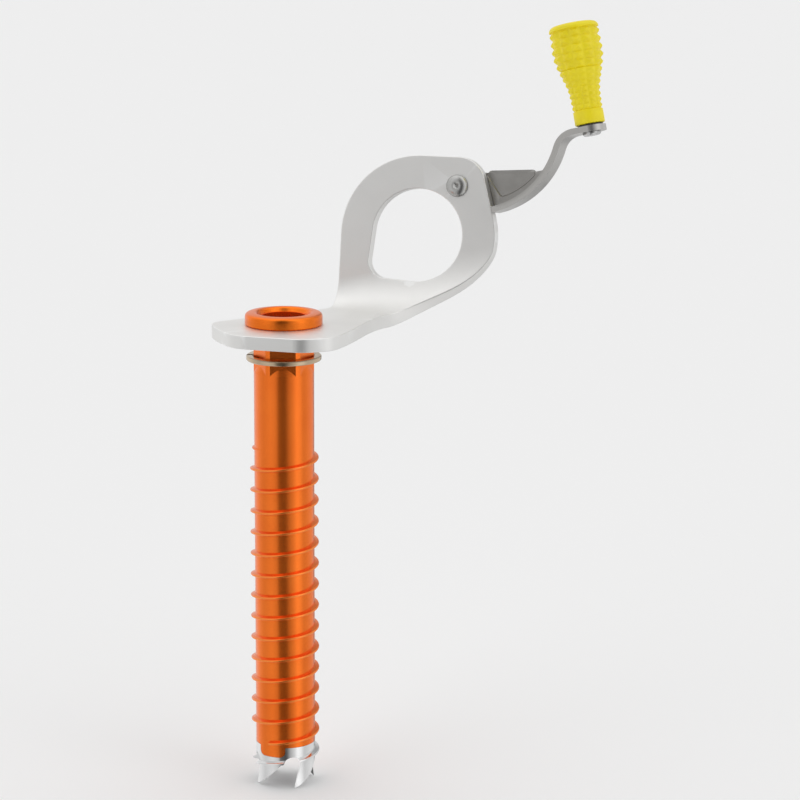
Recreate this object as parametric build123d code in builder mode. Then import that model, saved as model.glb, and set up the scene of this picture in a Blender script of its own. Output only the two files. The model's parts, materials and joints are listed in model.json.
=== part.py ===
"""Ice screw with a folding crank.

Frame: +Z runs up the tube, the origin is on the tube's axis at the underside of the hanger,
and +X runs along the hanger's upright eye, whose front looks towards -Y.  Millimetres.
"""
from build123d import *
from math import atan2, cos, degrees, pi, radians, sin, tan
import os

os.makedirs("parts", exist_ok=True)

# ---------------------------------------------------------------- driving dimensions
FIT = 0.05                   # gap between faces that lie together

# Tube
TUBE_RADIUS = 8.5
BORE_RADIUS = 6.2
TUBE_END = -118.2            # lower edge of the aluminium, between the tabs
TAB_DROP = 2.9               # how far a tab reaches below that edge
TAB_WIDTH = 8.0
TAB_CORNER = 1.6
TAB_ANGLES = (-100.0, 80.0)  # directions of the two tabs round the axis
NECK_FLATS = 15.4            # hexagonal neck, across flats
NECK_TURN = 17.0             # turns one flat towards the front right
NECK_END = -7.6
NECK_TAPER_END = -9.6
HANGER_FLATS = 14.6          # smaller hexagon that carries the hanger
SPIGOT_RADIUS = 6.95         # round end that carries the collar
SPIGOT_TOP = 6.2
GROOVE_Z = -5.6
GROOVE_HEIGHT = 1.5
GROOVE_RADIUS = 8.6

# Thread, right-hand
PITCH = 6.186
THREAD_CREST = 9.75
THREAD_ROOT = 8.15           # the ridge's root lies inside the wall
THREAD_BASE_HALF = 0.85
THREAD_CREST_HALF = 0.3
THREAD_TOP_ANGLE = 150.0     # direction in which the full ridge begins
THREAD_TOP_Z = -32.27
TUBE_TURNS = 13.7
THREAD_RUN_OUT = 0.22        # turns over which the ridge fades away
TIP_THREAD_ANGLE = 112.0
TIP_THREAD_Z = -119.52
TIP_TURNS = 0.9

# Steel tip
TIP_END = -130.4
SLEEVE_RADIUS = 7.4
SLEEVE_TOP = -110.0
TEETH = 4
FIRST_TOOTH_ANGLE = -54.1
GULLET_TO_TOOTH = 13.9       # degrees from the middle of a gullet to the next point
GULLET_TOP = -121.2
TOOTH_FACE = 2.04            # cutting face, measured across from the gullet's middle
TOOTH_BACK = -8.25           # where the sloping back of the next tooth runs out

# Head collar
COLLAR_RADIUS = 10.9
COLLAR_BAND = 2.1
COLLAR_HEIGHT = 3.5
COLLAR_BORE = 7.0
COLLAR_MOUTH = 7.4
COLLAR_CROWN_RADIUS = 9.3    # highest line of the rounded top

# Retaining ring
RING_OUTER = 10.6
RING_INNER = 8.65
RING_HEIGHT = 1.4
RING_GAP = 1.2
RING_GAP_ANGLE = 197.0

# Hanger
PLATE = 3.8
EYE_LEAN = 9.5               # degrees that the eye leans back
EYE_FOOT_Y = 34.5            # where the eye's front plane meets the base's top plane
BEND_GROWTH = 0.30           # inner bend radius per mm along X
BEND_APEX_X = -24.0
SHEET_REACH = 70.0
EYE_CENTRE = (27.6, 21.0)
EYE_RADIUS = 23.2
EYE_LEFT = EYE_CENTRE[0] - EYE_RADIUS
PIVOT = (38.7, 35.9)         # rivet, in the eye's plane
BOSS_RADIUS = 8.3
EYE_HOLE_ROUNDS = (((27.5, 21.2), 13.4), ((18.3, 13.3), 5.0), ((35.3, 20.3), 5.3))
EDGE_STATIONS = 14           # sections of the cut that makes the right-hand edge
EDGE_CUT = 10.5              # how far that cut reaches out from the edge
EDGE_ROUND = 0.3
SHARP_ANGLE = 25.0           # faces that meet at more than this make an edge to round

# Crank
RIVET_RADIUS = 2.5
RIVET_HEAD_RADIUS = 3.2
RIVET_HEAD_HEIGHT = 1.5
RIVET_TAIL_RADIUS = 3.6
RIVET_TAIL_HEIGHT = 1.1
WASHER = 0.5
WASHER_RADIUS = 4.6
SHEET = 1.7
FLANGE_WIDTH = 8.7
FLANGE_RADIUS = 24.9
FLANGE_CENTRE_ANGLE = 74.5   # direction from the pivot to the flange's centre
FLANGE_CENTRE_REACH = 18.4
FLANGE_START = -75.3
FLANGE_SWEEP = 60.3
NECK_STRAIGHT = 1.2
NECK_RADIUS = 6.0
NECK_BEND = -61.5
SEAT_LENGTH = 4.5            # from the neck's bend to the knob's axle
ARM_BOSS_RADIUS = 4.9
WEB_TOP_SHARE = 0.8          # share of the flange's curve that the web reaches up to
WEB_TOP_MIDDLE = (53.3, 40.2)
PANEL_DEPTH = 0.6            # the web's pressed panel
PANEL_MARGIN = 3.2
PANEL_START = -71.0
PANEL_SWEEP = 38.0
PANEL_TOP_LEFT = (45.0, 40.7)
PANEL_CORNER = 1.2
PANEL_TAPER = 30.0

# Knob
KNOB_LENGTH = 28.8
KNOB_TOP_RADIUS = 7.15
KNOB_WAIST_RADIUS = 4.85
KNOB_BASE_RADIUS = 4.3
KNOB_SHOULDER_RADIUS = 6.95
KNOB_STEM_TOP = 5.0          # the smooth foot of the knob ends here
KNOB_SHOULDER = 18.5         # the flare ends here
KNOB_RIM_ROUND = 1.5
KNOB_LIFT = 0.6              # gap under the knob, which holds its washer
KNOB_WELL_RADIUS = 3.6
KNOB_WELL_FLOOR = 20.0
AXLE_RADIUS = 1.5
AXLE_CLEARANCE = 0.08
AXLE_LENGTH = 22.0
AXLE_HEAD_RADIUS = 2.6
AXLE_HEAD_HEIGHT = 0.9
KNOB_WASHER = 0.4
KNOB_WASHER_RADIUS = 3.6
CLIP_RADIUS = 3.2
CLIP_THICKNESS = 0.5
CAP_RADIUS = 4.0
CAP_THICKNESS = 2.0

# ---------------------------------------------------------------- planes and the bent sheet
lean = radians(EYE_LEAN)
bend_angle = pi / 2 - lean
eye_plane = Plane(origin=(0, EYE_FOOT_Y, PLATE), x_dir=(1, 0, 0), z_dir=(0, -cos(lean), sin(lean)))
arm_front = -PLATE - WASHER - 2 * FIT
arm_back = arm_front - SHEET


def bend_radius(x):
    """Inner radius of the bend at x; the bend is a cone that opens along +X."""
    return BEND_GROWTH * (x - BEND_APEX_X)


def bend_centre(x):
    """Y and Z of the bend's centre at x."""
    radius = bend_radius(x)
    return EYE_FOOT_Y - radius * tan(bend_angle / 2), PLATE + radius


def on_sheet(x, run):
    """Middle of the sheet, run mm along its inner face from the axis, with its directions."""
    centre_y, centre_z = bend_centre(x)
    radius = bend_radius(x)
    turned = min(max((run - centre_y) / radius, 0.0), bend_angle)
    normal = Vector(0, -sin(turned), cos(turned))
    along = Vector(0, cos(turned), sin(turned))
    straight = run - centre_y - radius * turned
    middle = Vector(x, centre_y, centre_z) - normal * (radius + PLATE / 2) + along * straight
    return middle, normal, along


def bent_section(x):
    """Cross-section of the endless bent sheet at x."""
    radius = bend_radius(x)
    centre_y, centre_z = bend_centre(x)
    rise = Vector(sin(lean), cos(lean)) * SHEET_REACH
    with BuildSketch(Plane.YZ.offset(x), mode=Mode.PRIVATE) as section_sketch:
        with BuildLine():
            inner = CenterArc((centre_y, centre_z), radius, -90, 90 - EYE_LEAN)
            outer = CenterArc((centre_y, centre_z), radius + PLATE, -90, 90 - EYE_LEAN)
            low_ends = [(-SHEET_REACH, PLATE), (-SHEET_REACH, 0)]
            inner_start, inner_end = inner @ 0, inner @ 1
            outer_start, outer_end = outer @ 0, outer @ 1
            Polyline(inner_start, *low_ends, outer_start)
            Polyline(inner_end, inner_end + rise, outer_end + rise, outer_end)
        make_face()
    return section_sketch.sketch


def ridge(path, low_z, turn):
    """One length of the thread's ridge along a helix, turned and lifted into place."""
    start = path @ 0
    outward = Vector(start.X, start.Y, 0).normalized()
    crest = THREAD_CREST - THREAD_ROOT
    shoulder = crest - 0.15
    with BuildPart(mode=Mode.PRIVATE) as length:
        with BuildSketch(Plane(origin=start, x_dir=outward, z_dir=path % 0)):
            with BuildLine():
                Line((0, -THREAD_BASE_HALF), (shoulder, -THREAD_CREST_HALF))
                ThreePointArc((shoulder, -THREAD_CREST_HALF), (crest, 0), (shoulder, THREAD_CREST_HALF))
                Polyline((shoulder, THREAD_CREST_HALF), (0, THREAD_BASE_HALF), (0, -THREAD_BASE_HALF))
            make_face()
        sweep(path=path, is_frenet=True)
    return length.part.moved(Location((0, 0, low_z), (0, 0, turn)))


def thread(top_z, top_angle, turns):
    """Right-hand ridge that winds down from its top for a number of turns."""
    height = PITCH * turns
    return ridge(Helix(PITCH, height, THREAD_ROOT), top_z - height, top_angle - 360 * turns)


def thread_run_out(top_z, top_angle):
    """Short ridge above the thread's top that sinks into the wall."""
    height = PITCH * THREAD_RUN_OUT
    cone = degrees(atan2(THREAD_CREST - THREAD_ROOT, height))
    return ridge(Helix(PITCH, height, THREAD_ROOT, cone_angle=-cone), top_z, top_angle)


def radial_plane(angle, distance, z):
    """Plane that faces outwards at an angle round the axis; its Y is up."""
    outward = Vector(cos(radians(angle)), sin(radians(angle)), 0)
    across = Vector(-outward.Y, outward.X, 0)
    return Plane(origin=outward * distance + Vector(0, 0, z), x_dir=across, z_dir=outward)


def tabs(width, drop, corner):
    """Plates with rounded lower corners that hang from the tube's lower edge."""
    with BuildPart(mode=Mode.PRIVATE) as plates:
        for angle in TAB_ANGLES:
            with BuildSketch(radial_plane(angle, 0, TUBE_END)) as outline:
                with Locations((0, (1 - drop) / 2)):
                    Rectangle(width, drop + 1)
                fillet(outline.vertices().group_by(Axis.Y)[0], corner)
            extrude(amount=TUBE_RADIUS + 3)
    return plates.part


def sharp_edges(body):
    """Edges at which two faces meet at a clear corner."""
    found = []
    for edge in body.edges():
        sides = [face for face in body.faces() if any(edge.is_same(other) for other in face.edges())]
        normals = [side.normal_at(edge @ 0.5) for side in sides]
        if len(normals) == 2 and normals[0].get_angle(normals[1]) > SHARP_ANGLE:
            found.append(edge)
    return found


# ---------------------------------------------------------------- tube
with BuildPart() as below_edge:
    with BuildSketch(Plane.XY.offset(TUBE_END)):
        Circle(TUBE_RADIUS + 2)
    extrude(amount=-TAB_DROP - 2)
    add(tabs(TAB_WIDTH, TAB_DROP, TAB_CORNER), mode=Mode.SUBTRACT)

with BuildPart() as tube:
    with BuildSketch(Plane.XY.offset(TUBE_END - TAB_DROP)):
        Circle(TUBE_RADIUS)
    extrude(amount=NECK_TAPER_END - TUBE_END + TAB_DROP)
    with BuildSketch(Plane.XY.offset(NECK_TAPER_END)):
        Circle(TUBE_RADIUS)
    with BuildSketch(Plane.XY.offset(NECK_END)):
        Circle(NECK_FLATS / 2)
    loft()
    with BuildSketch(Plane.XY.offset(NECK_TAPER_END)):
        RegularPolygon(NECK_FLATS / 2, 6, major_radius=False, rotation=NECK_TURN)
        Circle(TUBE_RADIUS, mode=Mode.INTERSECT)
    extrude(amount=-NECK_TAPER_END)
    with BuildSketch():
        RegularPolygon(HANGER_FLATS / 2, 6, major_radius=False, rotation=NECK_TURN)
    extrude(amount=PLATE)
    with BuildSketch(Plane.XY.offset(PLATE)):
        Circle(SPIGOT_RADIUS)
    extrude(amount=SPIGOT_TOP - PLATE)
    with BuildSketch(Plane.XY.offset(GROOVE_Z - GROOVE_HEIGHT / 2)):
        Circle(TUBE_RADIUS + 3)
        Circle(GROOVE_RADIUS, mode=Mode.SUBTRACT)
    extrude(amount=GROOVE_HEIGHT, mode=Mode.SUBTRACT)
    add(thread(THREAD_TOP_Z, THREAD_TOP_ANGLE, TUBE_TURNS))
    add(thread_run_out(THREAD_TOP_Z, THREAD_TOP_ANGLE))
    with BuildSketch(Plane.XY.offset(TUBE_END - TAB_DROP - 1)):
        Circle(BORE_RADIUS)
    extrude(amount=SPIGOT_TOP - TUBE_END + TAB_DROP + 2, mode=Mode.SUBTRACT)
    with BuildSketch(Plane.XY.offset(SLEEVE_TOP + FIT)):
        Circle(SLEEVE_RADIUS + FIT)
    extrude(amount=TUBE_END - SLEEVE_TOP - TAB_DROP - 1, mode=Mode.SUBTRACT)
    add(below_edge.part, mode=Mode.SUBTRACT)

# ---------------------------------------------------------------- steel tip
with BuildPart() as tab_slots:
    with BuildSketch(Plane.XY.offset(TUBE_END - TAB_DROP - 1)):
        Circle(TUBE_RADIUS + 3)
        Circle(SLEEVE_RADIUS, mode=Mode.SUBTRACT)
    extrude(amount=TAB_DROP + 2)
    add(tabs(TAB_WIDTH + 2 * FIT, TAB_DROP + FIT, TAB_CORNER), mode=Mode.INTERSECT)

with BuildPart() as cutting_tip:
    with BuildSketch(Plane.XY.offset(TIP_END)):
        Circle(TUBE_RADIUS)
    extrude(amount=TUBE_END - FIT - TIP_END)
    with BuildSketch(Plane.XY.offset(TUBE_END - FIT)):
        Circle(SLEEVE_RADIUS)
    extrude(amount=SLEEVE_TOP - TUBE_END + FIT)
    add(thread(TIP_THREAD_Z, TIP_THREAD_ANGLE, TIP_TURNS))
    with BuildSketch(Plane.XY.offset(TIP_END - 1)):
        Circle(BORE_RADIUS)
    extrude(amount=SLEEVE_TOP - TIP_END + 2, mode=Mode.SUBTRACT)
    add(tab_slots.part, mode=Mode.SUBTRACT)
    for tooth in range(TEETH):
        gullet_angle = FIRST_TOOTH_ANGLE - GULLET_TO_TOOTH + 360 * tooth / TEETH
        face_top = (TOOTH_FACE + 2.26, GULLET_TOP - 2.0)
        back_top = (-0.9, GULLET_TOP - 1.4)
        with BuildSketch(radial_plane(gullet_angle, 0.5, 0)):
            with BuildLine():
                Line((TOOTH_FACE, TIP_END), face_top)
                ThreePointArc(face_top, (2.2, GULLET_TOP), back_top)
                Polyline(back_top, (TOOTH_BACK, TIP_END), (TOOTH_BACK, TIP_END - 1),
                         (TOOTH_FACE, TIP_END - 1), (TOOTH_FACE, TIP_END))
            make_face()
        extrude(amount=TUBE_RADIUS + 3, mode=Mode.SUBTRACT)

# ---------------------------------------------------------------- head collar
band_top = PLATE + COLLAR_BAND
collar_top = PLATE + COLLAR_HEIGHT
mouth_edge = (COLLAR_MOUTH, collar_top - 0.5)
with BuildPart() as head_collar:
    with BuildSketch(Plane.XZ):
        with BuildLine():
            Polyline((COLLAR_BORE, PLATE + FIT), (COLLAR_RADIUS - 0.3, PLATE + FIT),
                     (COLLAR_RADIUS, PLATE + 0.35), (COLLAR_RADIUS, band_top))
            Spline((COLLAR_RADIUS, band_top), (COLLAR_CROWN_RADIUS, collar_top), mouth_edge,
                   tangents=((0, 1), (-0.55, -1)))
            Polyline(mouth_edge, (COLLAR_BORE, SPIGOT_TOP), (COLLAR_BORE, PLATE + FIT))
        make_face()
    revolve()

# ---------------------------------------------------------------- retaining ring
with BuildPart() as retaining_ring:
    with BuildSketch(Plane.XZ):
        with Locations(((RING_OUTER + RING_INNER) / 2, GROOVE_Z)):
            RectangleRounded(RING_OUTER - RING_INNER, RING_HEIGHT, RING_HEIGHT * 0.3)
    revolve()
    with BuildSketch(Plane.XY.offset(GROOVE_Z - RING_HEIGHT)):
        Rectangle(RING_OUTER * 2, RING_GAP, rotation=RING_GAP_ANGLE, align=(Align.MIN, Align.CENTER))
    extrude(amount=2 * RING_HEIGHT, mode=Mode.SUBTRACT)

# ---------------------------------------------------------------- hanger
# The right-hand edge crosses the bend.  It is drawn on the flat blank as X and run along the
# sheet, and cut by a block that stays square to the sheet all the way.
with BuildLine() as blank_edge:
    Spline((20.0, -11.5), (21.1, 8.0), (23.7, 23.0), (33.0, 31.2), (44.3, 37.8), (49.6, 43.6), (50.8, 49.2),
           tangents=((0.15, 1), (0, 1)))

edge_sections = []
for station in range(EDGE_STATIONS + 1):
    share = station / EDGE_STATIONS
    place = blank_edge.line @ share
    heading = blank_edge.line % share
    middle, normal, along = on_sheet(place.X, place.Y)
    tangent = (Vector(1, 0, 0) * heading.X + along * heading.Y).normalized()
    outward = tangent.cross(normal)
    with BuildSketch(Plane(origin=middle, x_dir=outward, z_dir=tangent)) as cut_face:
        Rectangle(EDGE_CUT, 3 * PLATE, align=(Align.MIN, Align.CENTER))
    edge_sections.append(cut_face.sketch)

with BuildPart() as hanger_outline:
    with BuildSketch():
        with BuildLine():
            Polyline((24, -11.5), (20.0, -11.5))
            Spline((20.0, -11.5), (15.5, -17.6), (9.5, -20.0), tangents=((-0.15, -1), (-1, 0)))
            Polyline((9.5, -20.0), (-4.0, -20.0))
            Spline((-4.0, -20.0), (-12.0, -16.0), (-18.6, -7.5), tangents=((-1, 0), (-0.55, 1)))
            Spline((-18.6, -7.5), (-19.4, -2.8), (-16.5, 1.5), tangents=((-0.55, 1), (0.75, 1)))
            Spline((-16.5, 1.5), (1.0, 23.5), (EYE_LEFT, 31.0), tangents=((0.75, 1), (0, 1)))
            Polyline((EYE_LEFT, 31.0), (EYE_LEFT, 50), (56, 50), (54, 34), (46, 29), (37, 25),
                     (31, 20), (28.5, 13), (27, 2), (24, -11.5))
        make_face()
    extrude(amount=PLATE + 14)
    with BuildSketch(eye_plane.offset(-PLATE - 6)):
        with BuildLine():
            CenterArc(EYE_CENTRE, EYE_RADIUS, 0, 360)
            CenterArc(PIVOT, BOSS_RADIUS, 0, 360)
        make_hull()
        with BuildLine():
            Polyline((EYE_LEFT, EYE_CENTRE[1]), (EYE_LEFT, -2), (28, -2), (31, 0), (37, 1.5), (46, 6),
                     (53, 12), (57, 18), (57, EYE_CENTRE[1]), (EYE_LEFT, EYE_CENTRE[1]))
        make_face()
    extrude(amount=PLATE + 30)

with BuildPart() as hanger:
    loft([bent_section(-20), bent_section(75)], ruled=True)
    add(hanger_outline.part, mode=Mode.INTERSECT)
    loft(edge_sections, mode=Mode.SUBTRACT)
    with BuildSketch(eye_plane.offset(-PLATE - 6)):
        with BuildLine():
            for round_centre, round_radius in EYE_HOLE_ROUNDS:
                CenterArc(round_centre, round_radius, 0, 360)
        make_hull()
        with Locations(PIVOT):
            Circle(RIVET_RADIUS + FIT)
    extrude(amount=PLATE + 20, mode=Mode.SUBTRACT)
    fillet(sharp_edges(hanger), EDGE_ROUND)
    with BuildSketch(Plane.XY.offset(-1)):
        RegularPolygon(HANGER_FLATS / 2 + FIT, 6, major_radius=False, rotation=NECK_TURN)
    extrude(amount=PLATE + 2, mode=Mode.SUBTRACT)

# ---------------------------------------------------------------- crank rivet and its washers
tail_top = arm_back - WASHER - 2 * FIT
tail_end = tail_top - RIVET_TAIL_HEIGHT
pivot_point = eye_plane.from_local_coords((*PIVOT, 0))
rivet_section = Plane(origin=pivot_point, x_dir=(1, 0, 0), z_dir=eye_plane.y_dir * -1)
with BuildPart() as crank_rivet:
    with BuildSketch(rivet_section):
        with BuildLine():
            Polyline((0, tail_end), (RIVET_TAIL_RADIUS - 0.6, tail_end), (RIVET_TAIL_RADIUS, tail_end + 0.6),
                     (RIVET_TAIL_RADIUS, tail_top), (RIVET_RADIUS, tail_top), (RIVET_RADIUS, FIT),
                     (RIVET_HEAD_RADIUS, FIT), (RIVET_HEAD_RADIUS, 0.35))
            ThreePointArc((RIVET_HEAD_RADIUS, 0.35), (2.3, 1.25), (0.9, RIVET_HEAD_HEIGHT))
            Polyline((0.9, RIVET_HEAD_HEIGHT), (0, 0.8), (0, tail_end))
        make_face()
    revolve(axis=Axis(pivot_point, eye_plane.z_dir))


def pivot_washer(back):
    """Washer round the rivet; its back face lies at this depth."""
    with BuildPart(mode=Mode.PRIVATE) as ring:
        with BuildSketch(eye_plane.offset(back)):
            with Locations(PIVOT):
                Circle(WASHER_RADIUS)
                Circle(RIVET_RADIUS + FIT, mode=Mode.SUBTRACT)
        extrude(amount=WASHER)
    return ring.part


with BuildPart() as friction_washer:
    add(pivot_washer(arm_front + FIT))

with BuildPart() as rivet_washer:
    add(pivot_washer(arm_back - FIT - WASHER))

# ---------------------------------------------------------------- crank arm
turn = radians(FLANGE_CENTRE_ANGLE)
flange_centre = Vector(*PIVOT) + Vector(cos(turn), sin(turn)) * FLANGE_CENTRE_REACH


def draw_arm_line():
    """Middle line of the flange, its neck and the knob's seat; gives back the first and last stretch."""
    curve = CenterArc(flange_centre, FLANGE_RADIUS, FLANGE_START, FLANGE_SWEEP)
    straight = PolarLine(curve @ 1, NECK_STRAIGHT, direction=curve % 1)
    neck = JernArc(straight @ 1, straight % 1, NECK_RADIUS, NECK_BEND)
    seat = PolarLine(neck @ 1, SEAT_LENGTH + FLANGE_WIDTH / 2, direction=neck % 1)
    return curve, seat


with BuildLine():
    flange_curve, seat_line = draw_arm_line()

# The knob's axle stands on the seat; X of its plane looks to the front, Y along the seat.
seat_direction = seat_line % 1
seat_centre = seat_line @ (SEAT_LENGTH / (SEAT_LENGTH + FLANGE_WIDTH / 2))
seat_up = Vector(-seat_direction.Y, seat_direction.X)
seat_top = seat_centre + seat_up * SHEET / 2
knob_up = eye_plane.x_dir * seat_up.X + eye_plane.y_dir * seat_up.Y
knob_origin = eye_plane.from_local_coords((seat_top.X, seat_top.Y, arm_back + FLANGE_WIDTH / 2))
knob_plane = Plane(origin=knob_origin, x_dir=eye_plane.z_dir, z_dir=knob_up)
knob_section = Plane(origin=knob_origin, x_dir=eye_plane.z_dir, z_dir=eye_plane.z_dir.cross(knob_up))
knob_axis = Axis(knob_origin, knob_up)

with BuildPart() as crank_arm:
    with BuildSketch(eye_plane.offset(arm_back)):
        with BuildLine():
            draw_arm_line()
        trace(line_width=SHEET)
    extrude(amount=FLANGE_WIDTH)
    with BuildSketch(eye_plane.offset(arm_back)):
        with BuildLine():
            lower = CenterArc(flange_centre, FLANGE_RADIUS, FLANGE_START, FLANGE_SWEEP * WEB_TOP_SHARE)
            boss_top = (PIVOT[0] + 1.5, PIVOT[1] + ARM_BOSS_RADIUS - 0.2)
            top = ThreePointArc(lower @ 1, WEB_TOP_MIDDLE, boss_top)
            Polyline(top @ 1, PIVOT, (PIVOT[0] + 1.0, PIVOT[1] - ARM_BOSS_RADIUS + 0.1), lower @ 0)
        make_face()
        with Locations(PIVOT):
            Circle(ARM_BOSS_RADIUS)
    extrude(amount=SHEET)
    with BuildSketch(eye_plane.offset(arm_back)):
        with Locations(PIVOT):
            Circle(RIVET_RADIUS + FIT)
    extrude(amount=SHEET, mode=Mode.SUBTRACT)
    for face_depth, panel_mode in ((arm_front, Mode.SUBTRACT), (arm_back, Mode.ADD)):
        with BuildSketch(eye_plane.offset(face_depth)):
            with BuildLine():
                rim = CenterArc(flange_centre, FLANGE_RADIUS - PANEL_MARGIN, PANEL_START, PANEL_SWEEP)
                Polyline(rim @ 1, PANEL_TOP_LEFT, rim @ 0)
            make_face()
            fillet(vertices(), PANEL_CORNER)
        extrude(amount=-PANEL_DEPTH, taper=PANEL_TAPER, mode=panel_mode)
    with BuildSketch(knob_plane.offset(-SHEET - 1)):
        Rectangle(FLANGE_WIDTH * 1.2, FLANGE_WIDTH, align=(Align.CENTER, Align.MIN))
        Circle(FLANGE_WIDTH / 2, mode=Mode.SUBTRACT)
        Circle(AXLE_RADIUS + FIT)
    extrude(amount=SHEET + 2, mode=Mode.SUBTRACT)

# ---------------------------------------------------------------- knob and its axle
with BuildPart() as knob_axle:
    with BuildSketch(knob_section):
        with BuildLine():
            head_top = -SHEET - FIT
            head_end = head_top - AXLE_HEAD_HEIGHT
            Polyline((0, head_end), (AXLE_HEAD_RADIUS - 0.4, head_end), (AXLE_HEAD_RADIUS, head_end + 0.4),
                     (AXLE_HEAD_RADIUS, head_top), (AXLE_RADIUS, head_top), (AXLE_RADIUS, AXLE_LENGTH - 0.3),
                     (AXLE_RADIUS - 0.3, AXLE_LENGTH), (0, AXLE_LENGTH), (0, head_end))
        make_face()
    revolve(axis=knob_axis)

with BuildPart() as knob_washer:
    with BuildSketch(knob_plane.offset(FIT)):
        Circle(KNOB_WASHER_RADIUS)
        Circle(AXLE_RADIUS + FIT, mode=Mode.SUBTRACT)
    extrude(amount=KNOB_WASHER)

knob_top = KNOB_LIFT + KNOB_LENGTH
with BuildPart() as knob:
    with BuildSketch(knob_section):
        with BuildLine():
            Polyline((0, KNOB_LIFT), (KNOB_BASE_RADIUS - 0.4, KNOB_LIFT), (KNOB_BASE_RADIUS, KNOB_LIFT + 0.4),
                     (KNOB_BASE_RADIUS, KNOB_STEM_TOP))
            Spline((KNOB_BASE_RADIUS, KNOB_STEM_TOP), (KNOB_WAIST_RADIUS, 11.5), (6.0, 15.2),
                   (KNOB_SHOULDER_RADIUS, KNOB_SHOULDER), tangents=((0.05, 1), (0.15, 1)))
            Line((KNOB_SHOULDER_RADIUS, KNOB_SHOULDER), (KNOB_TOP_RADIUS, knob_top - KNOB_RIM_ROUND - 0.1))
            TangentArc((KNOB_TOP_RADIUS, knob_top - KNOB_RIM_ROUND - 0.1),
                       (KNOB_TOP_RADIUS - KNOB_RIM_ROUND, knob_top), tangent=(0.02, 1))
            Polyline((KNOB_TOP_RADIUS - KNOB_RIM_ROUND, knob_top), (0, knob_top), (0, KNOB_LIFT))
        make_face()
    revolve(axis=knob_axis)
    with BuildSketch(knob_plane.offset(KNOB_LIFT - 1)):
        Circle(AXLE_RADIUS + AXLE_CLEARANCE)
    extrude(amount=KNOB_LENGTH, mode=Mode.SUBTRACT)
    with BuildSketch(knob_plane.offset(KNOB_WELL_FLOOR)):
        Circle(KNOB_WELL_RADIUS)
    extrude(amount=KNOB_LENGTH, mode=Mode.SUBTRACT)
    with BuildSketch(knob_plane.offset(knob_top - CAP_THICKNESS)):
        Circle(CAP_RADIUS + FIT)
    extrude(amount=KNOB_LENGTH, mode=Mode.SUBTRACT)

with BuildPart() as knob_cap:
    with BuildSketch(knob_plane.offset(knob_top - CAP_THICKNESS + FIT)):
        Circle(CAP_RADIUS)
    extrude(amount=CAP_THICKNESS - FIT - 0.3)
    chamfer(knob_cap.faces().sort_by(knob_axis)[-1].edges(), 0.4)

with BuildPart() as knob_clip:
    with BuildSketch(knob_plane.offset(KNOB_WELL_FLOOR + 0.2)):
        Circle(CLIP_RADIUS)
        Circle(AXLE_RADIUS + 0.02, mode=Mode.SUBTRACT)
    extrude(amount=CLIP_THICKNESS)

pieces = {
    "tube": tube, "cutting_tip": cutting_tip, "head_collar": head_collar, "retaining_ring": retaining_ring,
    "hanger": hanger, "crank_rivet": crank_rivet, "friction_washer": friction_washer,
    "rivet_washer": rivet_washer, "crank_arm": crank_arm, "knob_axle": knob_axle,
    "knob_washer": knob_washer, "knob": knob, "knob_cap": knob_cap, "knob_clip": knob_clip,
}
for name, piece in pieces.items():
    piece.part.label = name
    export_step(piece.part, f"parts/{name}.step")
    print(name, round(piece.part.volume, 1), "mm3", len(piece.solids()), "solid", piece.part.is_valid)
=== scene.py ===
"""Looks of the ice screw: camera, light, materials and the studded knob, in metres."""
import json
import math

import bpy
import numpy as np
from mathutils import Matrix, Vector


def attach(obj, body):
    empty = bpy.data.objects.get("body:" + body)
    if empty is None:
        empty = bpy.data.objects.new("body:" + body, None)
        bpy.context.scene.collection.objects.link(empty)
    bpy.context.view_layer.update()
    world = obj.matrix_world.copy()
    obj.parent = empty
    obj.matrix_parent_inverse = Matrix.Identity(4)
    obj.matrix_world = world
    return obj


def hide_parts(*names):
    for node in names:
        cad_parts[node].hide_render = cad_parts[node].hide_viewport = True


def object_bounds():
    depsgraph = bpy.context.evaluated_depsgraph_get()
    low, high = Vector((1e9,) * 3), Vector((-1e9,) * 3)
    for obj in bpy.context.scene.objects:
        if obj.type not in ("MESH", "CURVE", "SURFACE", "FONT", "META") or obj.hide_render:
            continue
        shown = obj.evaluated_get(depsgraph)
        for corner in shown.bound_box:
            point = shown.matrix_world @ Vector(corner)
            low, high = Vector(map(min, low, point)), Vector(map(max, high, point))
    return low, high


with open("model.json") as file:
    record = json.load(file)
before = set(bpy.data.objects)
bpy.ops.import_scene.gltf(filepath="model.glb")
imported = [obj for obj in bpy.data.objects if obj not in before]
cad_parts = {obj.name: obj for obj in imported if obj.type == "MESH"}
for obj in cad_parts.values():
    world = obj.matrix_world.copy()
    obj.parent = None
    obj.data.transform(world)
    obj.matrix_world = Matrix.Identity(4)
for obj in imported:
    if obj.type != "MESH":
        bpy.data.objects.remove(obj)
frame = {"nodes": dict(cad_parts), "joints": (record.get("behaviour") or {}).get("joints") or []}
cad_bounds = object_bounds()

MM = 0.001

# Camera: where it stands, and its turn round Z, its pitch below the horizon and its roll
CAMERA_PLACE = (0.26817, -0.76534, 0.15874)
CAMERA_TURN = 17.0
CAMERA_PITCH = 12.293
CAMERA_ROLL = 0.2225
LENS_MM = 132.34

# Studio: brightness of the light round the object, by degrees to the right of the camera's
# fixed place, and the light from above that is added to it, by degrees over the horizon
SIDE_LIGHT = (
    (-180, 0.95), (-125, 1.25), (-85, 0.92), (-50, 1.15), (-27, 0.90), (-20, 0.22),
    (0, 0.10), (8, 0.16), (20, 0.62), (38, 1.05), (50, 1.55), (62, 1.45),
    (80, 0.90), (115, 1.10), (146, 1.0), (158, 0.35), (168, 0.9), (180, 0.95),
)
TOP_LIGHT = ((-90, 0.0), (30, 0.0), (65, 0.45), (90, 0.55))
FULL_LIGHT = 2.0             # brightness that a ramp's white stands for
FLOOR_GAP = 0.0002
FLOOR_SIZE = 40.0

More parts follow.
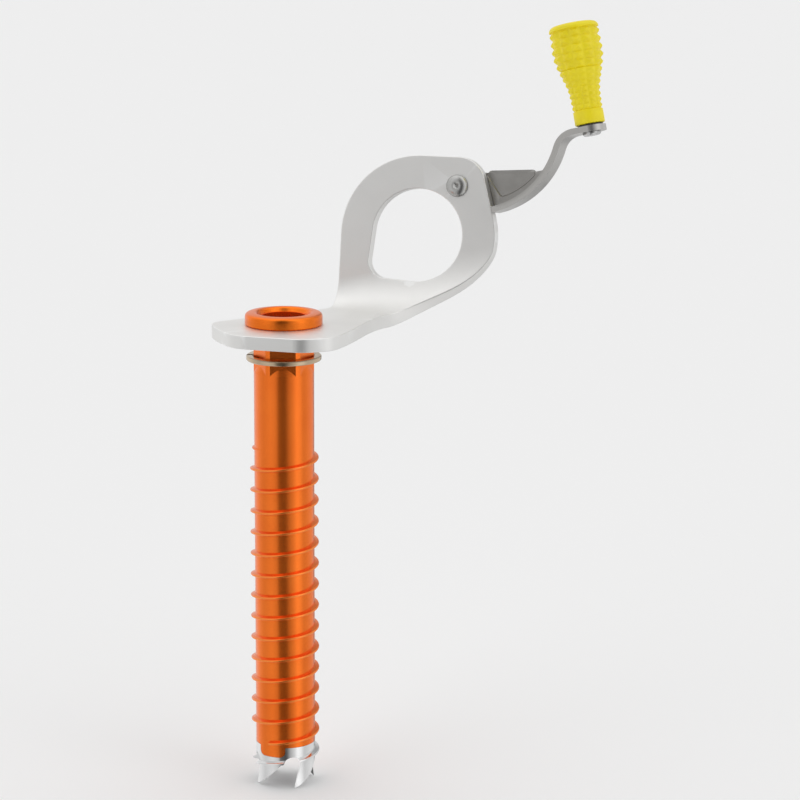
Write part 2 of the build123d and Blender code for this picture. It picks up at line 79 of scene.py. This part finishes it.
# Knob, in millimetres above the seat it turns on
COLUMNS = 12
COLUMN_STEPS = 10
ROW_STEPS = 10
SMALL_ROWS_FROM = 4.7
SMALL_ROWS = 7
LARGE_ROWS_FROM = 16.4
LARGE_ROWS = 5
ROWS_END = 27.7
SMALL_STUD = 0.45            # how far a stud stands out
LARGE_STUD = 0.75
STUD_FOOT = 0.94             # half width of a stud in its cell, whose half width is 1
STUD_FLANK = 0.80            # how much of that half width the slope takes up
KNOB_BASE = 0.6
KNOB_TOP = 29.35
FOOT_RADIUS = 4.28
RIM_RADIUS = 7.10
RIM_ROUND = 1.5
CAP_SEAT_RADIUS = 4.05
CAP_SEAT = 27.4
WELL_RADIUS = 3.6
WELL_FLOOR = 20.0
BORE_RADIUS = 1.58
SHARP_EDGE = 48.0            # degrees; steeper edges of the knob are shaded sharp
CREST_LINE = ((5.0, 4.28), (11.5, 4.82), (15.2, 5.95), (18.5, 6.92), (28.0, 7.10))


# ---------------------------------------------------------------- camera, floor and light
def make_camera():
    """Camera at the viewing angle of the reference view."""
    camera = bpy.data.objects.new("camera", bpy.data.cameras.new("camera"))
    camera.data.lens = LENS_MM
    camera.data.sensor_width = 36.0
    camera.data.clip_start = 0.01
    camera.data.clip_end = 200.0
    turn = Matrix.Rotation(math.radians(CAMERA_TURN), 4, "Z")
    pitch = Matrix.Rotation(math.radians(90 - CAMERA_PITCH), 4, "X")
    roll = Matrix.Rotation(math.radians(CAMERA_ROLL), 4, "Z")
    camera.matrix_world = Matrix.Translation(CAMERA_PLACE) @ turn @ pitch @ roll
    bpy.context.scene.collection.objects.link(camera)
    bpy.context.scene.camera = camera


def make_floor():
    """Pale floor just under the teeth; polished metal mirrors the studio instead of it."""
    height = cad_bounds[0][2] - FLOOR_GAP
    half = FLOOR_SIZE / 2
    mesh = bpy.data.meshes.new("floor")
    corners = [(-half, -half, height), (half, -half, height), (half, half, height), (-half, half, height)]
    mesh.from_pydata(corners, [], [(0, 1, 2, 3)])
    floor = bpy.data.objects.new("floor", mesh)
    floor.visible_glossy = False
    bpy.context.scene.collection.objects.link(floor)
    material, shader = new_material("floor_pale")[:2]
    shader.inputs["Base Color"].default_value = (0.93, 0.93, 0.93, 1)
    shader.inputs["Roughness"].default_value = 0.9
    shader.inputs["Specular IOR Level"].default_value = 0.1
    mesh.materials.append(material)


def fill_ramp(ramp, stops, low, high):
    """Puts (place, brightness) stops on a colour ramp whose input runs from 0 to 1."""
    while len(ramp.elements) > 1:
        ramp.elements.remove(ramp.elements[-1])
    for index, (place, brightness) in enumerate(stops):
        share = (place - low) / (high - low)
        element = ramp.elements[0] if index == 0 else ramp.elements.new(share)
        element.position = share
        element.color = (brightness / FULL_LIGHT,) * 3 + (1,)


def make_studio():
    """Soft light all round, with a dim gap behind the camera and a little light from above."""
    world = bpy.data.worlds.new("studio")
    bpy.context.scene.world = world
    world.use_nodes = True
    nodes, links = world.node_tree.nodes, world.node_tree.links
    nodes.clear()
    direction = nodes.new("ShaderNodeTexCoord")
    split = nodes.new("ShaderNodeSeparateXYZ")
    links.new(direction.outputs["Generated"], split.inputs[0])

    def math_node(kind, first, second):
        node = nodes.new("ShaderNodeMath")
        node.operation = kind
        for socket, value in zip(node.inputs, (first, second)):
            if isinstance(value, (int, float)):
                socket.default_value = value
            else:
                links.new(value, socket)
        return node.outputs[0]

    def ramp_node(place, stops, low, high):
        node = nodes.new("ShaderNodeValToRGB")
        fill_ramp(node.color_ramp, stops, low, high)
        links.new(place, node.inputs[0])
        return math_node("MULTIPLY", node.outputs[0], FULL_LIGHT)

    # Degrees to the right of the camera: 0 is straight behind it.
    bearing = math_node("ARCTAN2", split.outputs["Y"], split.outputs["X"])
    right_of_camera = math_node("SUBTRACT", bearing, math.radians(CAMERA_TURN - 90))
    turned = math_node("WRAP", right_of_camera, math.pi)
    nodes[-1].inputs[2].default_value = -math.pi
    around = math_node("ADD", math_node("DIVIDE", turned, 2 * math.pi), 0.5)
    over_horizon = math_node("ARCSINE", split.outputs["Z"], 0)
    height = math_node("ADD", math_node("DIVIDE", over_horizon, math.pi), 0.5)
    side = ramp_node(around, SIDE_LIGHT, -180, 180)
    top = ramp_node(height, TOP_LIGHT, -90, 90)
    studio = nodes.new("ShaderNodeBackground")
    links.new(math_node("ADD", side, top), studio.inputs["Strength"])
    backdrop = nodes.new("ShaderNodeBackground")
    backdrop.inputs["Color"].default_value = (1, 1, 1, 1)
    paths = nodes.new("ShaderNodeLightPath")
    choose = nodes.new("ShaderNodeMixShader")
    links.new(paths.outputs["Is Camera Ray"], choose.inputs[0])
    links.new(studio.outputs[0], choose.inputs[1])
    links.new(backdrop.outputs[0], choose.inputs[2])
    output = nodes.new("ShaderNodeOutputWorld")
    links.new(choose.outputs[0], output.inputs[0])


# ---------------------------------------------------------------- material building blocks
def new_material(name):
    """A material with one Principled shader, and short ways to add nodes to it."""
    material = bpy.data.materials.new(name)
    material.use_nodes = True
    nodes, links = material.node_tree.nodes, material.node_tree.links
    nodes.clear()
    shader = nodes.new("ShaderNodeBsdfPrincipled")
    output = nodes.new("ShaderNodeOutputMaterial")
    links.new(shader.outputs[0], output.inputs[0])
    return material, shader, links, nodes.new


def grain(new, links, scale, detail=3.0, stretch=(1, 1, 1)):
    """Noise in the object's own coordinates; scale is in spots per metre."""
    place = new("ShaderNodeTexCoord")
    mapping = new("ShaderNodeMapping")
    mapping.inputs["Scale"].default_value = stretch
    noise = new("ShaderNodeTexNoise")
    noise.inputs["Scale"].default_value = scale
    noise.inputs["Detail"].default_value = detail
    links.new(place.outputs["Object"], mapping.inputs[0])
    links.new(mapping.outputs[0], noise.inputs["Vector"])
    return noise.outputs["Fac"]


def between(new, links, factor, low, high, low_at=0.3, high_at=0.7):
    """A number that goes from low to high as the factor does."""
    node = new("ShaderNodeMapRange")
    node.inputs["From Min"].default_value = low_at
    node.inputs["From Max"].default_value = high_at
    node.inputs["To Min"].default_value = low
    node.inputs["To Max"].default_value = high
    links.new(factor, node.inputs["Value"])
    return node.outputs[0]


def blend_colours(new, links, factor, first, second):
    """A colour between two, each a tuple or another colour output."""
    node = new("ShaderNodeMix")
    node.data_type = "RGBA"
    links.new(factor, node.inputs["Factor"])
    for socket, colour in ((node.inputs[6], first), (node.inputs[7], second)):
        if isinstance(colour, tuple):
            socket.default_value = (*colour, 1)
        else:
            links.new(colour, socket)
    return node.outputs[2]


def bump(new, links, shader, height, depth, strength):
    """Fine relief, depth in metres."""
    node = new("ShaderNodeBump")
    node.inputs["Strength"].default_value = strength
    node.inputs["Distance"].default_value = depth
    links.new(height, node.inputs["Height"])
    links.new(node.outputs[0], shader.inputs["Normal"])


def metal(name, light, dark, rough, mottle=90.0, fine=5000.0, fine_stretch=(1, 1, 1),
          depth=4e-6, strength=0.25):
    """Metal whose tone, roughness and fine relief vary a little over the surface."""
    material, shader, links, new = new_material(name)
    shader.inputs["Metallic"].default_value = 1.0
    tone = between(new, links, grain(new, links, mottle), 0.0, 1.0)
    colour = blend_colours(new, links, tone, dark, light)
    links.new(colour, shader.inputs["Base Color"])
    fine_grain = grain(new, links, fine, 2.0, fine_stretch)
    links.new(between(new, links, fine_grain, rough[0], rough[1]), shader.inputs["Roughness"])
    bump(new, links, shader, fine_grain, depth, strength)
    return material, shader, links, new, colour


def edge_highlight_mask(new, links, low, high):
    """1 along outer edges, where a painted highlight is laid on."""
    geometry = new("ShaderNodeNewGeometry")
    return between(new, links, geometry.outputs["Pointiness"], 0.0, 1.0, low, high)


# ---------------------------------------------------------------- materials
def anodised_tube():
    """Orange anodising over a turned surface, with a painted highlight: paler orange on the crest of the
    thread.
    """
    material, shader, links, new, colour = metal(
        "anodised_orange", (0.95, 0.20, 0.020), (0.90, 0.175, 0.016), (0.18, 0.26),
        fine_stretch=(0.04, 0.04, 1.6), depth=2e-6, strength=0.15)
    shader.inputs["Metallic"].default_value = 0.8
    place = new("ShaderNodeTexCoord")
    flat = new("ShaderNodeVectorMath")
    flat.operation = "MULTIPLY"
    flat.inputs[1].default_value = (1, 1, 0)
    radius = new("ShaderNodeVectorMath")
    radius.operation = "LENGTH"
    links.new(place.outputs["Object"], flat.inputs[0])
    links.new(flat.outputs[0], radius.inputs[0])
    # painted highlight: the thread's crest is painted a paler orange, standing in for the light it catches
    crest = between(new, links, radius.outputs["Value"], 0.0, 0.35, 9.5 * MM, 9.75 * MM)
    links.new(blend_colours(new, links, crest, colour, (0.95, 0.42, 0.12)), shader.inputs["Base Color"])
    return material


def anodised_collar():
    """The same anodising on the collar, with a softer, tumbled surface."""
    return metal("anodised_orange_tumbled", (0.95, 0.21, 0.022), (0.90, 0.18, 0.018), (0.24, 0.32),
                 fine=7000.0)[0]


def hanger_plate():
    """Satin silver plate with a tumbled grain, with a painted highlight that makes it a little brighter on
    its edges.
    """
    material, shader, links, new, colour = metal(
        "hanger_satin", (0.87, 0.865, 0.85), (0.83, 0.825, 0.81), (0.44, 0.54),
        mottle=60.0, fine=6500.0, depth=5e-6, strength=0.3)
    # painted highlight: the plate's outer edges are painted a brighter silver
    edge_highlight = edge_highlight_mask(new, links, 0.52, 0.58)
    links.new(blend_colours(new, links, edge_highlight, colour, (0.92, 0.92, 0.91)), shader.inputs["Base Color"])
    return material


def tip_steel():
    """Polished steel with fine grinding marks."""
    return metal("tip_polished", (0.80, 0.80, 0.80), (0.72, 0.72, 0.72), (0.10, 0.18), mottle=150.0,
                 fine_stretch=(0.3, 0.3, 1.5), depth=2e-6, strength=0.12)[0]


def crank_steel():
    """Stainless sheet, pressed and tumbled to a satin grey, with a painted highlight along its edges."""
    material, shader, links, new, colour = metal(
        "crank_satin", (0.38, 0.37, 0.355), (0.32, 0.31, 0.295), (0.27, 0.38),
        mottle=220.0, fine=6000.0)
    # painted highlight: the arm's outer edges are painted a paler grey
    edge_highlight = edge_highlight_mask(new, links, 0.52, 0.60)
    links.new(blend_colours(new, links, edge_highlight, colour, (0.55, 0.54, 0.52)), shader.inputs["Base Color"])
    return material


def knob_plastic():
    """Bright yellow moulded plastic with a faint texture."""
    material, shader, links, new = new_material("knob_yellow")
    tone = between(new, links, grain(new, links, 250.0), 0.0, 1.0)
    colour = blend_colours(new, links, tone, (0.90, 0.74, 0.004), (0.95, 0.80, 0.006))
    links.new(colour, shader.inputs["Base Color"])
    fine_grain = grain(new, links, 4000.0, 2.0)
    links.new(between(new, links, fine_grain, 0.42, 0.52), shader.inputs["Roughness"])
    bump(new, links, shader, fine_grain, 1e-5, 0.2)
    return material


def washer_polymer():
    """Dark low-friction plastic."""
    material, shader, links, new = new_material("washer_dark")
    tone = between(new, links, grain(new, links, 500.0), 0.0, 1.0)
    colour = blend_colours(new, links, tone, (0.05, 0.05, 0.052), (0.07, 0.07, 0.073))
    links.new(colour, shader.inputs["Base Color"])
    shader.inputs["Roughness"].default_value = 0.55
    return material


def dress(material, *nodes):
    """Gives carried-over CAD nodes a material, and keeps their meshes."""
    for name in nodes:
        mesh = frame["nodes"][name].data
        for index in range(max(1, len(mesh.materials))):
            if len(mesh.materials) > index:
                mesh.materials[index] = material
            else:
                mesh.materials.append(material)


# ---------------------------------------------------------------- knob
def crest_radius(height):
    """Radius over the studs' tops: a smooth line through the crest points."""
    places, radii = zip(*CREST_LINE)
    slopes = np.gradient(radii, places)
    index = int(np.clip(np.searchsorted(places, height) - 1, 0, len(places) - 2))
    span = places[index + 1] - places[index]
    t = min(max((height - places[index]) / span, 0.0), 1.0)
    start, end = radii[index], radii[index + 1]
    return (start * (2 * t**3 - 3 * t**2 + 1) + end * (3 * t**2 - 2 * t**3)
            + span * (slopes[index] * (t**3 - 2 * t**2 + t) + slopes[index + 1] * (t**3 - t**2)))


def stud(u, v):
    """Height of one pyramid stud, 0 to 1, where u and v run from -1 to 1 across its cell."""
    reach = max(abs(u), abs(v))
    return min(max((STUD_FOOT - reach) / STUD_FLANK, 0.0), 1.0)


def knob_rings():
    """(height, radius by angle) rings up the knob's outside, over the rim and down its inside."""
    steps = COLUMNS * COLUMN_STEPS
    across = [2 * (step % COLUMN_STEPS) / COLUMN_STEPS - 1 for step in range(steps)]
    rings = [(KNOB_BASE, FOOT_RADIUS - 0.35), (KNOB_BASE + 0.1, FOOT_RADIUS - 0.12),
             (KNOB_BASE + 0.35, FOOT_RADIUS), (2.5, FOOT_RADIUS), (SMALL_ROWS_FROM - 0.25, FOOT_RADIUS)]
    for start, end, rows, depth in ((SMALL_ROWS_FROM, LARGE_ROWS_FROM, SMALL_ROWS, SMALL_STUD),
                                    (LARGE_ROWS_FROM, ROWS_END, LARGE_ROWS, LARGE_STUD)):
        for step in range(rows * ROW_STEPS):
            height = start + (end - start) * step / (rows * ROW_STEPS)
            along = 2 * (step % ROW_STEPS) / ROW_STEPS - 1
            crest = crest_radius(height)
            rings.append((height, [crest - depth * (1 - stud(u, along)) for u in across]))
    rings.append((ROWS_END, RIM_RADIUS - LARGE_STUD * 0.8))
    rings.append((ROWS_END + 0.12, RIM_RADIUS))
    for step in range(9):
        angle = math.pi / 2 * step / 8
        rings.append((KNOB_TOP - RIM_ROUND * (1 - math.sin(angle)),
                      RIM_RADIUS - RIM_ROUND * (1 - math.cos(angle))))
    rings += [(KNOB_TOP, CAP_SEAT_RADIUS + 0.15), (KNOB_TOP - 0.15, CAP_SEAT_RADIUS),
              (CAP_SEAT, CAP_SEAT_RADIUS), (CAP_SEAT, WELL_RADIUS), (WELL_FLOOR, WELL_RADIUS),
              (WELL_FLOOR, BORE_RADIUS), (KNOB_BASE, BORE_RADIUS)]
    return [(height, radius if isinstance(radius, list) else [radius] * steps) for height, radius in rings]


def make_knob(material):
    """Moulded grip with rows of small studs, in place of the plain CAD knob."""
    joint = next(joint for joint in frame["joints"] if joint["name"] == "knob_spin")
    origin, up = Vector(joint["pos_m"]), Vector(joint["axis"]).normalized()
    side = Vector((0, -1, 0)).cross(up).normalized()
    front = up.cross(side)
    steps = COLUMNS * COLUMN_STEPS
    rings = knob_rings()
    points = []
    for height, radii in rings:
        for step, radius in enumerate(radii):
            angle = 2 * math.pi * step / steps
            outward = side * math.cos(angle) + front * math.sin(angle)
            points.append(origin + (up * height + outward * radius) * MM)
    faces = []
    for ring in range(len(rings)):
        low, high = ring * steps, (ring + 1) % len(rings) * steps
        for step in range(steps):
            after = (step + 1) % steps
            faces.append((low + step, low + after, high + after, high + step))
    mesh = bpy.data.meshes.new("knob_grip")
    mesh.from_pydata(points, [], faces)
    mesh.materials.append(material)
    mesh.shade_smooth()
    mesh.set_sharp_from_angle(angle=math.radians(SHARP_EDGE))
    knob = bpy.data.objects.new("knob_grip", mesh)
    bpy.context.scene.collection.objects.link(knob)
    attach(knob, "knob")
    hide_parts("knob")


# ---------------------------------------------------------------- the whole scene
bpy.context.scene.view_settings.view_transform = "Standard"
make_camera()
make_floor()
make_studio()

dress(anodised_tube(), "tube")
dress(anodised_collar(), "head_collar")
dress(hanger_plate(), "hanger")
dress(tip_steel(), "cutting_tip")
dress(metal("ring_bronzed", (0.60, 0.48, 0.34), (0.50, 0.39, 0.27), (0.16, 0.24))[0], "retaining_ring")
dress(metal("rivet_satin", (0.52, 0.52, 0.51), (0.44, 0.44, 0.43), (0.25, 0.35))[0], "crank_rivet")
dress(metal("small_steel", (0.60, 0.60, 0.60), (0.50, 0.50, 0.50), (0.22, 0.32))[0],
      "rivet_washer", "knob_axle", "knob_clip")
dress(crank_steel(), "crank_arm")
dress(washer_polymer(), "friction_washer", "knob_washer")
yellow = knob_plastic()
dress(yellow, "knob_cap")
make_knob(yellow)
